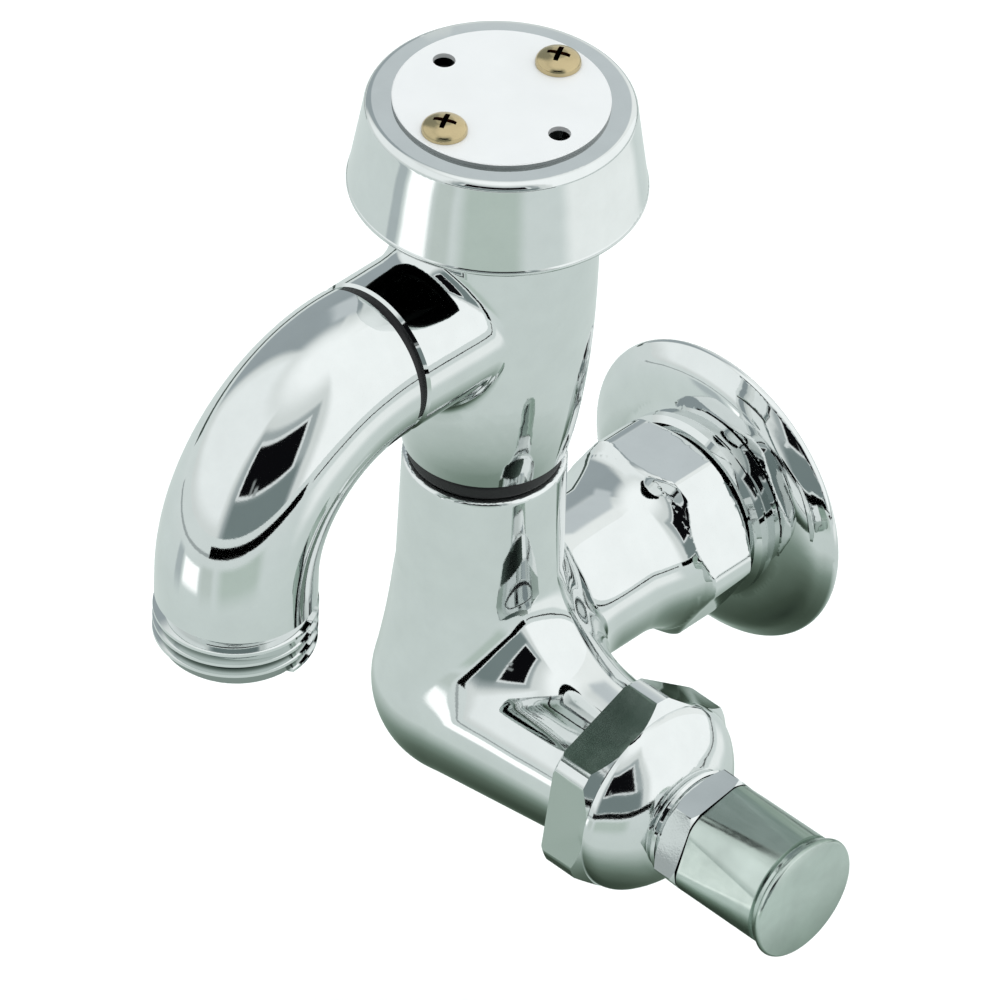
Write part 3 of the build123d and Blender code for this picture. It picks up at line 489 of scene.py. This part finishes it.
def contour(f, lo, hi, step):
    """Dual contouring: vertices, quads and corner normals of f = 0, with sharp edges kept."""
    n = [int(math.ceil((h - l) / step)) + 1 for l, h in zip(lo, hi)]
    ax = [l + step * np.arange(k) for l, k in zip(lo, n)]
    val = np.empty(n)
    for i0 in range(0, n[0], 12):
        U, V, W = np.meshgrid(ax[0][i0:i0 + 12], ax[1], ax[2], indexing="ij")
        val[i0:i0 + 12] = f(U, V, W)
    ins = val < 0
    cell_id = -np.ones([k - 1 for k in n], dtype=np.int64)
    P, N, C, quads = [], [], [], []
    for d in range(3):
        a = [slice(None)] * 3
        b = [slice(None)] * 3
        a[d], b[d] = slice(0, -1), slice(1, None)
        cross = ins[tuple(a)] != ins[tuple(b)]
        e1, e2 = (d + 1) % 3, (d + 2) % 3
        # edges on the outside of the grid have no ring of four cells
        for e in (e1, e2):
            s = [slice(None)] * 3
            s[e] = 0
            cross[tuple(s)] = False
            s[e] = -1
            cross[tuple(s)] = False
        idx = np.argwhere(cross)
        v0 = val[idx[:, 0], idx[:, 1], idx[:, 2]]
        j = idx.copy()
        j[:, d] += 1
        v1 = val[j[:, 0], j[:, 1], j[:, 2]]
        base = np.stack([ax[k][idx[:, k]] for k in range(3)], 1)
        t0, t1 = np.zeros(len(v0)), np.ones(len(v0))
        f0, f1 = v0.copy(), v1.copy()
        for _ in range(6):
            t = t0 + (t1 - t0) * np.clip(f0 / (f0 - f1 + 1e-30), 0.05, 0.95)
            q = base.copy()
            q[:, d] += t * step
            fv = f(*q.T)
            same = (fv < 0) == (f0 < 0)
            t0, f0 = np.where(same, t, t0), np.where(same, fv, f0)
            t1, f1 = np.where(same, t1, t), np.where(same, f1, fv)
        t = t0 + (t1 - t0) * np.clip(f0 / (f0 - f1 + 1e-30), 0.0, 1.0)
        q = base.copy()
        q[:, d] += t * step
        g = grad(f, q)
        four = []
        for o1, o2 in ((-1, -1), (0, -1), (0, 0), (-1, 0)):
            c = idx.copy()
            c[:, e1] += o1
            c[:, e2] += o2
            four.append(c)
            P.append(q)
            N.append(g)
            C.append(c)
        quads.append((four, v0 < 0))
    P, N, C = np.concatenate(P), np.concatenate(N), np.concatenate(C)
    shape = [k - 1 for k in n]
    key = (C[:, 0] * shape[1] + C[:, 1]) * shape[2] + C[:, 2]
    uniq, inv = np.unique(key, return_inverse=True)
    m = len(uniq)
    cnt = np.bincount(inv, minlength=m).astype(float)
    mass = np.stack([np.bincount(inv, P[:, k], m) / cnt for k in range(3)], 1)
    A = np.zeros((m, 3, 3))
    B = np.zeros((m, 3))
    rel = P - mass[inv]
    nd = (N * rel).sum(1)
    for i in range(3):
        B[:, i] = np.bincount(inv, N[:, i] * nd, m)
        for j2 in range(3):
            A[:, i, j2] = np.bincount(inv, N[:, i] * N[:, j2], m)
    A += np.eye(3)[None] * 0.06 * cnt[:, None, None]
    x = np.linalg.solve(A, B[:, :, None])[:, :, 0]
    mean_n = np.stack([np.bincount(inv, N[:, k], m) / cnt for k in range(3)], 1)
    sharp = np.linalg.norm(mean_n, axis=1) < 0.985
    # stay inside the cell
    cc = np.stack([ax[0][uniq // (shape[1] * shape[2])], ax[1][(uniq // shape[2]) % shape[1]], ax[2][uniq % shape[2]]], 1)
    v = np.clip(mass + x, cc - 0.1 * step, cc + 1.1 * step)
    # smooth places are laid exactly on the surface
    soft = ~sharp
    for _ in range(3):
        pv = v[soft]
        g = grad(f, pv)
        v[soft] = pv - g * np.clip(f(*pv.T), -0.3 * step, 0.3 * step)[:, None]
    faces = []
    for four, start_in in quads:
        ids = []
        for c in four:
            k = (c[:, 0] * shape[1] + c[:, 1]) * shape[2] + c[:, 2]
            ids.append(np.searchsorted(uniq, k))
        q = np.stack(ids, 1)
        q[~start_in] = q[~start_in][:, ::-1]
        faces.append(q)
    F = np.concatenate(faces)
    ctr = v[F].mean(1)
    co = v[F].reshape(-1, 3)
    sh = sharp[F].reshape(-1)
    at = np.where(sh[:, None], co * 0.6 + np.repeat(ctr, 4, 0) * 0.4, co)
    ln = grad(f, at)
    return v, F, ln


def skin_mesh(name, f, lo, hi, step, shift, material, slot, body, *nodes):
    """A closed skin around f = 0, in metres, with its exact normals, standing for CAD nodes."""
    v, F, ln = contour(f, lo, hi, step)
    me = bpy.data.meshes.new(name)
    me.vertices.add(len(v))
    me.vertices.foreach_set("co", ((v + np.array(shift)) * 0.001).astype(np.float32).ravel())
    me.loops.add(len(F) * 4)
    me.loops.foreach_set("vertex_index", F.astype(np.int32).ravel())
    me.polygons.add(len(F))
    me.polygons.foreach_set("loop_start", np.arange(0, len(F) * 4, 4, dtype=np.int32))
    me.update(calc_edges=True)
    me.shade_smooth()
    me.normals_split_custom_set(ln.tolist())
    me.materials.append(material)
    o = bpy.data.objects.new(name, me)
    bpy.context.scene.collection.objects.link(o)
    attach(o, body)
    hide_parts(*nodes)
    return o


K_ARMS, K_TRUNK = 5.5, 12.0
skin_mesh("valve_body_cast", body_skin, (-19.6, -19.6, -19.6), (34.2, 58.6, 50.4), 0.7, (0, -YB, -ZB), MATS["body_chrome"], "body_chrome", "faucet", "valve_body")

# ---------------------------------------------------------------- studio
def emit_mat(name, col, power):
    m = bpy.data.materials.new(name)
    m.use_nodes = True
    nt = m.node_tree
    nt.nodes.clear()
    out = nt.nodes.new("ShaderNodeOutputMaterial")
    em = nt.nodes.new("ShaderNodeEmission")
    em.inputs["Color"].default_value = (*col, 1)
    em.inputs["Strength"].default_value = power
    nt.links.new(em.outputs[0], out.inputs["Surface"])
    return m


CENTRE = Vector((0, -0.0594, 0.03))


def card(name, az, el, dist, w, h, mat, roll=0.0):
    """A flat card facing the object, seen from it at azimuth az (0 along -Y, 90 along +X) and elevation el."""
    a, e = math.radians(az), math.radians(el)
    d = Vector((math.sin(a) * math.cos(e), -math.cos(a) * math.cos(e), math.sin(e)))
    me = bpy.data.meshes.new(name)
    me.from_pydata([(-w / 2, -h / 2, 0), (w / 2, -h / 2, 0), (w / 2, h / 2, 0), (-w / 2, h / 2, 0)], [], [(0, 1, 2, 3)])
    me.materials.append(mat)
    o = bpy.data.objects.new(name, me)
    bpy.context.scene.collection.objects.link(o)
    q = d.to_track_quat("Z", "Y") @ Matrix.Rotation(math.radians(roll), 3, "Z").to_quaternion()
    o.rotation_mode = "QUATERNION"
    o.rotation_quaternion = q
    o.location = CENTRE + d * dist
    o.visible_camera = False
    o.visible_shadow = False
    return o


world = bpy.data.worlds.new("studio")
bpy.context.scene.world = world
world.use_nodes = True
wt = world.node_tree
wt.nodes.clear()
w_out = wt.nodes.new("ShaderNodeOutputWorld")
w_bg = wt.nodes.new("ShaderNodeBackground")
wt.links.new(w_bg.outputs[0], w_out.inputs["Surface"])
w_tc = wt.nodes.new("ShaderNodeTexCoord")
w_xyz = wt.nodes.new("ShaderNodeSeparateXYZ")
wt.links.new(w_tc.outputs["Generated"], w_xyz.inputs[0])
DEG = 180.0 / math.pi
w_el = math_node(wt, "MULTIPLY", math_node(wt, "ARCSINE", w_xyz.outputs["Z"]), DEG)
w_az = math_node(wt, "MULTIPLY", math_node(wt, "ARCTAN2", w_xyz.outputs["X"], math_node(wt, "MULTIPLY", w_xyz.outputs["Y"], -1.0)), DEG)


def edge(value, at, soft):
    """0 below at, 1 above, over soft degrees."""
    n = wt.nodes.new("ShaderNodeMapRange")
    n.interpolation_type = "SMOOTHSTEP"
    n.inputs["From Min"].default_value = at - soft / 2
    n.inputs["From Max"].default_value = at + soft / 2
    wt.links.new(value, n.inputs["Value"])
    return n.outputs["Result"]


def patch(az0, az1, el0, el1, soft):
    """Mask of a rectangle of sky, with soft edges; soft may be one number or left, right, low, high."""
    q = (soft,) * 4 if not isinstance(soft, tuple) else soft
    left = edge(w_az, az0, q[0])
    right = math_node(wt, "SUBTRACT", 1.0, edge(w_az, az1, q[1]))
    low = edge(w_el, el0, q[2])
    high = math_node(wt, "SUBTRACT", 1.0, edge(w_el, el1, q[3]))
    return math_node(wt, "MULTIPLY", math_node(wt, "MULTIPLY", left, right), math_node(wt, "MULTIPLY", low, high))


def over(under, mask, col):
    n = wt.nodes.new("ShaderNodeMix")
    n.data_type = "RGBA"
    wt.links.new(mask, n.inputs["Factor"])
    if isinstance(under, bpy.types.NodeSocket):
        wt.links.new(under, n.inputs["A"])
    else:
        n.inputs["A"].default_value = (*under, 1)
    n.inputs["B"].default_value = (*col, 1)
    return n.outputs["Result"]


# pale room: bright on the right and overhead, light grey on the left, a grey frame with a dark window behind the camera
sky = over((0.78, 0.82, 0.81), edge(w_az, 84.0, 8.0), (1.10, 1.13, 1.13))
sky = over(sky, patch(-84, 2, 4, 58, (14, 6, 10, 14)), (0.98, 1.02, 1.02))
sky = over(sky, patch(-130, -90, -4, 60, (6, 8, 8, 20)), (0.37, 0.42, 0.44))
sky = over(sky, math_node(wt, "SUBTRACT", 1.0, edge(w_az, -150.0, 30.0)), (1.0, 1.03, 1.02))
sky = over(sky, edge(w_el, 66.0, 26.0), (1.12, 1.15, 1.15))
sky = over(sky, patch(-156, -119, 28, 53, (8, 8, 8, 8)), (0.62, 0.67, 0.69))
sky = over(sky, patch(7, 76, -9, 50, (7, 4, 2, 5)), (0.42, 0.47, 0.475))
sky = over(sky, patch(12, 74, -4, 17, (8, 5, 6, 7)), (0.20, 0.25, 0.25))
sky = over(sky, patch(13.5, 69.5, 16.5, 45, (1.5, 1.5, 1.5, 1.5)), (0.80, 0.84, 0.84))
sky = over(sky, patch(16, 67, 18.5, 42.5, (1.5, 1.5, 1.5, 1.5)), (0.004, 0.004, 0.005))
sky = over(sky, patch(28, 31, 18, 25, 2), (0.25, 0.27, 0.27))
sky = over(sky, patch(33, 37, 17, 21, 2), (0.35, 0.38, 0.38))
wt.links.new(sky, w_bg.inputs["Color"])
w_bg.inputs["Strength"].default_value = 1.0

floor_m, nt, b = new_mat("floor_paper")
v = mapped(nt, (1, 1, 1))
fn = noise(nt, v, 400.0, 4.0)
nt.links.new(ramp(nt, fn, [(0.3, (0.90, 0.91, 0.905)), (0.7, (0.93, 0.94, 0.935))]), b.inputs["Base Color"])
b.inputs["Roughness"].default_value = 0.9
nt.links.new(bump(nt, fn, 0.00005), b.inputs["Normal"])
me = bpy.data.meshes.new("floor")
s = 3.0
me.from_pydata([(-s, -s, 0), (s, -s, 0), (s, s, 0), (-s, s, 0)], [], [(0, 1, 2, 3)])
me.materials.append(floor_m)
floor = bpy.data.objects.new("floor", me)
floor.location = (0, 0, -0.13)
floor.visible_shadow = False
floor.visible_glossy = False
bpy.context.scene.collection.objects.link(floor)

dark = emit_mat("dark_card", (0.0, 0.0, 0.0), 0.0)


def strip(name, az0, az1, dist, z0, z1, mat, n=24):
    """A low curved wall around the object, from azimuth az0 to az1, between heights z0 and z1."""
    vs, fs = [], []
    for i in range(n + 1):
        a = math.radians(az0 + (az1 - az0) * i / n)
        x, y = math.sin(a) * dist, -math.cos(a) * dist
        vs += [(x, -0.0594 + y, z0), (x, -0.0594 + y, z1)]
    for i in range(n):
        fs.append((2 * i, 2 * i + 2, 2 * i + 3, 2 * i + 1))
    me = bpy.data.meshes.new(name)
    me.from_pydata(vs, [], fs)
    me.materials.append(mat)
    o = bpy.data.objects.new(name, me)
    bpy.context.scene.collection.objects.link(o)
    o.visible_camera = False
    o.visible_shadow = False
    o.visible_diffuse = False
    return o


strip("table_edge", 2, 88, 1.0, -0.129, -0.035, dark)
strip("table_edge_back", 178, 276, 1.0, -0.129, -0.055, emit_mat("deep_green_card", (0.07, 0.095, 0.085), 1.0))
strip("room_edge", 92, 178, 1.0, -0.10, -0.078, dark)
strip("table_edge_left", -70, 2, 1.0, -0.129, -0.100, emit_mat("grey_card", (0.40, 0.44, 0.44), 1.0))

# what the table shows in the plating, painted on a glowing disc that only the plating sees: pale far off, grey-green
# and darker straight below, where the dark middle is a painted shadow of the faucet; the bands further out are painted
# reflections of the room, and the bright band a painted highlight
m = bpy.data.materials.new("table_below")
m.use_nodes = True
nt = m.node_tree
nt.nodes.clear()
out = nt.nodes.new("ShaderNodeOutputMaterial")
em = nt.nodes.new("ShaderNodeEmission")
tc = nt.nodes.new("ShaderNodeTexCoord")
ln = nt.nodes.new("ShaderNodeVectorMath")
ln.operation = "LENGTH"
nt.links.new(tc.outputs["Object"], ln.inputs[0])
far = math_node(nt, "DIVIDE", ln.outputs["Value"], 1.0, True)
below_col = ramp(nt, far, [(0.0, (0.03, 0.045, 0.033)), (0.04, (0.055, 0.08, 0.058)), (0.075, (0.12, 0.165, 0.13)), (0.105, (0.22, 0.29, 0.245)), (0.14, (0.43, 0.51, 0.47)), (0.19, (0.66, 0.735, 0.71)), (0.40, (0.70, 0.77, 0.755)), (1.0, (0.76, 0.82, 0.81))])
bx = nt.nodes.new("ShaderNodeSeparateXYZ")
nt.links.new(tc.outputs["Object"], bx.inputs[0])
b_az = math_node(nt, "MULTIPLY", math_node(nt, "ARCTAN2", bx.outputs["X"], math_node(nt, "MULTIPLY", bx.outputs["Y"], -1.0)), DEG)


def band(tree, value, lo, hi, soft):
    r = []
    for at in (lo, hi):
        n = tree.nodes.new("ShaderNodeMapRange")
        n.interpolation_type = "SMOOTHSTEP"
        n.inputs["From Min"].default_value = at - soft / 2
        n.inputs["From Max"].default_value = at + soft / 2
        tree.links.new(value, n.inputs["Value"])
        r.append(n.outputs["Result"])
    return math_node(tree, "SUBTRACT", r[0], r[1])


def lay(tree, under, mask, col):
    n = tree.nodes.new("ShaderNodeMix")
    n.data_type = "RGBA"
    tree.links.new(mask, n.inputs["Factor"])
    tree.links.new(under, n.inputs["A"])
    n.inputs["B"].default_value = (*col, 1)
    return n.outputs["Result"]


away = band(nt, ln.outputs["Value"], 0.36, 0.72, 0.16)
for lo_az, hi_az, soft, col in ((-40, -31, 3, (0.48, 0.54, 0.55)), (-4, 10, 6, (0.60, 0.67, 0.64)), (18, 62, 12, (0.53, 0.62, 0.57)), (96, 175, 14, (0.98, 1.02, 1.01))):
    below_col = lay(nt, below_col, math_node(nt, "MULTIPLY", away, band(nt, b_az, lo_az, hi_az, soft)), col)
# bright band on the disc: painted highlight seen in the hood, bulb and spout
painted_highlight_band = math_node(nt, "MULTIPLY", band(nt, ln.outputs["Value"], 0.39, 0.66, 0.06), band(nt, b_az, -28, -7, 4))
below_col = lay(nt, below_col, painted_highlight_band, (1.34, 1.36, 1.35))
nt.links.new(below_col, em.inputs["Color"])
em.inputs["Strength"].default_value = 1.0
nt.links.new(em.outputs[0], out.inputs["Surface"])
me = bpy.data.meshes.new("table_below")
rim = [(6.0 * math.cos(math.radians(t)), 6.0 * math.sin(math.radians(t)), 0.0) for t in range(0, 360, 6)]
me.from_pydata(rim, [], [tuple(range(60))])
me.materials.append(m)
below = bpy.data.objects.new("table_below", me)
below.location = (0, -0.0594, -0.1295)
below.visible_camera = False
below.visible_shadow = False
below.visible_diffuse = False
bpy.context.scene.collection.objects.link(below)

# soft light from above for the paper; the plating shows the room instead
la = bpy.data.lights.new("soft_top", "AREA")
la.shape = "DISK"
la.size = 3.0
la.energy = 34.0
lo = bpy.data.objects.new("soft_top", la)
lo.location = (0.3, -0.4, 2.2)
lo.visible_glossy = False
bpy.context.scene.collection.objects.link(lo)

# ---------------------------------------------------------------- camera
az, el, roll = math.radians(42.78), math.radians(40.17), math.radians(2.81)
back = Vector((math.sin(az) * math.cos(el), -math.cos(az) * math.cos(el), math.sin(el)))
right = Vector((math.cos(az), math.sin(az), 0))
up = back.cross(right)
R = math.cos(roll) * right + math.sin(roll) * up
U = -math.sin(roll) * right + math.cos(roll) * up
cam = bpy.data.cameras.new("photo_camera")
cam.sensor_width = 36.0
cam.lens = 9488.0 / 1000.0 * 36.0
cam.clip_start = 0.1
cam.clip_end = 50.0
cam_o = bpy.data.objects.new("photo_camera", cam)
bpy.context.scene.collection.objects.link(cam_o)
eye = R * 0.00436 + U * 0.02942 + back * 1.6 + Vector((0, -0.0594, -0.0074))
rot = Matrix((R, U, back)).transposed()
cam_o.matrix_world = Matrix.Translation(eye) @ rot.to_4x4()
bpy.context.scene.camera = cam_o
bpy.context.scene.view_settings.view_transform = "Standard"
